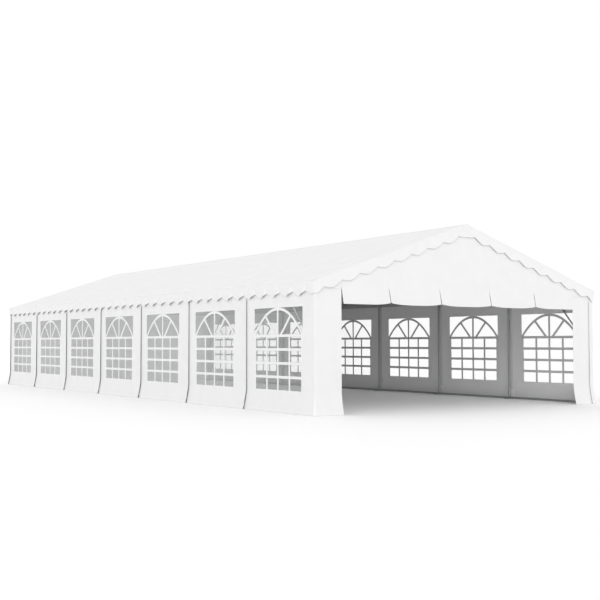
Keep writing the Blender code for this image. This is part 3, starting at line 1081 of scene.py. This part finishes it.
def piping_tree():
    """A round cord sewn along an edge."""
    inputs = {"Geometry": "Geometry", "Radius": "Float", "Finish": "Material"}
    outputs = {"Geometry": "Geometry"}
    tree, given, result = new_tree("GeometryNodeTree", "piped edge", inputs, outputs)
    ring = tree.nodes.new("GeometryNodeCurvePrimitiveCircle")
    ring.inputs["Resolution"].default_value = 6
    sweep = tree.nodes.new("GeometryNodeCurveToMesh")
    sweep.inputs["Fill Caps"].default_value = True
    finish = tree.nodes.new("GeometryNodeSetMaterial")
    tree.links.new(given.outputs["Radius"], ring.inputs["Radius"])
    tree.links.new(given.outputs["Geometry"], sweep.inputs["Curve"])
    tree.links.new(ring.outputs["Curve"], sweep.inputs["Profile Curve"])
    tree.links.new(sweep.outputs["Mesh"], finish.inputs["Geometry"])
    tree.links.new(given.outputs["Finish"], finish.inputs["Material"])
    tree.links.new(finish.outputs["Geometry"], result.inputs["Geometry"])
    return tree


def bolts_tree():
    """A bolt head and washer at every point, turned to the point's facing."""
    inputs = {"Geometry": "Geometry", "Size": "Float", "Finish": "Material"}
    outputs = {"Geometry": "Geometry"}
    tree, given, result = new_tree("GeometryNodeTree", "bolt heads", inputs, outputs)
    join = tree.nodes.new("GeometryNodeJoinGeometry")
    for sides, radius, depth, raised in ((6, 1.0, 0.75, 0.5), (16, 1.5, 0.22, 0.0)):
        disc = tree.nodes.new("GeometryNodeMeshCylinder")
        disc.inputs["Vertices"].default_value = sides
        disc.inputs["Radius"].default_value = radius
        disc.inputs["Depth"].default_value = depth
        lift = tree.nodes.new("GeometryNodeTransform")
        lift.inputs["Translation"].default_value = (0, 0, raised)
        tree.links.new(disc.outputs["Mesh"], lift.inputs["Geometry"])
        tree.links.new(lift.outputs["Geometry"], join.inputs["Geometry"])
    facing = tree.nodes.new("GeometryNodeInputNamedAttribute")
    facing.data_type = "FLOAT_VECTOR"
    facing.inputs["Name"].default_value = "facing"
    turn = tree.nodes.new("FunctionNodeAlignRotationToVector")
    turn.axis = "Z"
    points = tree.nodes.new("GeometryNodeInstanceOnPoints")
    realize = tree.nodes.new("GeometryNodeRealizeInstances")
    finish = tree.nodes.new("GeometryNodeSetMaterial")
    tree.links.new(facing.outputs["Attribute"], turn.inputs["Vector"])
    tree.links.new(given.outputs["Geometry"], points.inputs["Points"])
    tree.links.new(join.outputs["Geometry"], points.inputs["Instance"])
    tree.links.new(turn.outputs["Rotation"], points.inputs["Rotation"])
    tree.links.new(given.outputs["Size"], points.inputs["Scale"])
    tree.links.new(points.outputs["Instances"], realize.inputs["Geometry"])
    tree.links.new(realize.outputs["Geometry"], finish.inputs["Geometry"])
    tree.links.new(given.outputs["Finish"], finish.inputs["Material"])
    tree.links.new(finish.outputs["Geometry"], result.inputs["Geometry"])
    return tree


PIPING = piping_tree()
BOLTS = bolts_tree()


def line_curve(points):
    curve = bpy.data.curves.new("line", "CURVE")
    curve.dimensions = "3D"
    spline = curve.splines.new("POLY")
    spline.points.add(len(points) - 1)
    for point, place in zip(spline.points, points):
        point.co = (*place, 1)
    return curve


def piped_edge(name, points):
    mesh = run_tree(PIPING, line_curve(points), Radius=PIPING_R, Finish=WHITE_BAND)
    mesh.name = name
    return add_piece(name, sharpen(mesh, 60))


def bolts(spots):
    """One mesh of bolt heads at (place, facing) spots."""
    points = bpy.data.meshes.new("bolt points")
    points.from_pydata([tuple(place) for place, _ in spots], [], [])
    facing = points.attributes.new("facing", "FLOAT_VECTOR", "POINT")
    facing.data.foreach_set("vector", [number for _, way in spots for number in way])
    return sharpen(run_tree(BOLTS, points, Size=BOLT_R, Finish=ZINC), 30)


# Steel frame

def pipe(points, radius):
    """A round tube bent through points, with closed ends."""
    curve = line_curve(points)
    curve.bevel_depth = radius
    curve.bevel_resolution = TUBE_SIDES // 2 - 2
    curve.use_fill_caps = True
    curve.use_radius = False
    mesh = evaluated_mesh(bpy.data.objects.new("pipe", curve))
    shape = bmesh.new()
    shape.from_mesh(mesh)
    bmesh.ops.remove_doubles(shape, verts=shape.verts, dist=0.00001)
    bmesh.ops.recalc_face_normals(shape, faces=shape.faces)
    shape.to_mesh(mesh)
    shape.free()
    return mesh


def plate(low, high):
    """A flat plate with eased edges."""
    low, high = Vector(low), Vector(high)
    shape = bmesh.new()
    size = Matrix.Diagonal((*(high - low), 1))
    bmesh.ops.create_cube(shape, size=1, matrix=Matrix.Translation((low + high) / 2) @ size)
    bmesh.ops.bevel(
        shape, geom=shape.edges[:], offset=FOOT_BEVEL, segments=2, affect="EDGES", profile=0.5
    )
    return finished_mesh("plate", shape)


def steel_piece(name, meshes, nodes):
    """One piece of tubes and plates, which get the galvanised finish, and of bolts in their own."""
    for mesh in meshes:
        if not mesh.materials:
            mesh.materials.append(STEEL_TUBE)
        sharpen(mesh)
    add_piece(name, joined(name, *meshes), nodes)


def frame_z(across):
    """Height of the frame's centreline under the roof."""
    return RIDGE_RAIL.z - abs(across) * RISE


def half_frame(hand, way, number, along):
    """One post and its rafter, with collars, sleeves and a bolted foot plate."""
    post = way * FRAME_X
    eave = Vector((post, along, frame_z(FRAME_X)))
    ridge = Vector((0, along, frame_z(0)))
    slope = (ridge - eave).normalized()
    tubes = [
        pipe([(post, along, FOOT_T), eave, ridge - slope * RAFTER_GAP], TUBE_R),
        pipe([(post, along, eave.z - EAVE_COLLAR), eave, eave + slope * EAVE_COLLAR], COLLAR_R),
        pipe([ridge - slope * RIDGE_COLLAR, ridge - slope * COLLAR_GAP], COLLAR_R),
        pipe([(post, along, FOOT_T), (post, along, FOOT_COLLAR_Z)], COLLAR_R),
    ]
    rails = [(post, eave.z), (way * PURLIN.x, PURLIN.z)]
    if way < 0:
        rails.append((0, RIDGE_RAIL.z))
    spots = []
    for across, up in rails:
        ends = [(across, along + end * SLEEVE_L / 2, up) for end in (-1, 1)]
        tubes.append(pipe(ends, SLEEVE_R))
        for off in (-SLEEVE_BOLT, SLEEVE_BOLT):
            spots.append(((across, along + off, up - SLEEVE_R), (0, 0, -1)))
    low, high = sorted((way * (FRAME_X + FOOT_X / 4), way * (FRAME_X - 3 * FOOT_X / 4)))
    tubes.append(plate((low, along - FOOT_Y / 2, 0), (high, along + FOOT_Y / 2, FOOT_T)))
    inner = way * (FRAME_X - FOOT_X / 2)
    for end in (-1, 1):
        spots.append(((inner, along + end * FOOT_Y / 3, FOOT_T), (0, 0, 1)))
    for up in (FOOT_BOLT_Z, eave.z - EAVE_BOLT):
        spots.append(((post - way * COLLAR_R, along, up), (-way, 0, 0)))
    down = Vector((slope.z * way, 0, -abs(slope.x)))
    for place in (eave + slope * EAVE_BOLT, ridge - slope * RIDGE_BOLT):
        spots.append((place + down.normalized() * COLLAR_R, down))
    name = f"{hand}_half_frame_{number}"
    steel_piece(name, [*tubes, bolts(spots)], [f"{hand}_frame_{number}"])


def half_frames():
    for hand, way in SIDES:
        for number, along in enumerate(FRAME_LINES, start=1):
            half_frame(hand, way, number, along)


def rails():
    """Lengthwise tubes through the sleeves, and the bars on the foot plates."""
    places = {"ridge_rail": RIDGE_RAIL}
    for hand, way in SIDES:
        for name, rail in (("purlin", PURLIN), ("eave_rail", EAVE_RAIL), ("ground_rail", GROUND_RAIL)):
            places[f"{hand}_{name}"] = Vector((way * rail.x, 0, rail.z))
    for name, rail in places.items():
        ends = [(rail.x, -RAIL_REACH, rail.z), (rail.x, RAIL_REACH, rail.z)]
        steel_piece(f"{name}_tube", [pipe(ends, TUBE_R)], [name])


def knee_braces():
    """Slanting tubes with bolted ends at the corner posts."""
    for end in ("front", "back"):
        for hand in ("left", "right"):
            name = f"{end}_{hand}_knee_brace"
            low, high = (Vector(corner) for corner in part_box(name))
            way = 1 if low.y < 0 else -1
            across = (low.x + high.x) / 2
            near, far = (low.y, high.y) if way > 0 else (high.y, low.y)
            run = Vector((0, far - near, high.z - low.z)).normalized()
            foot = Vector((across, near + way * BRACE_FOOT_IN[0], low.z + BRACE_FOOT_IN[1]))
            head = Vector((across, far - way * BRACE_HEAD_IN[0], high.z - BRACE_HEAD_IN[1]))
            bolted = (foot + run * BRACE_BOLT, head - run * BRACE_BOLT)
            inward = Vector((-1 if across > 0 else 1, 0, 0))
            spots = [(spot + inward * BRACE_R, inward) for spot in bolted]
            steel_piece(f"{name}_tube", [pipe([foot, head], BRACE_R), bolts(spots)], [name])


add_camera()
add_studio()
side_walls()
end_walls()
roof()
valances()
gables()
half_frames()
rails()
knee_braces()
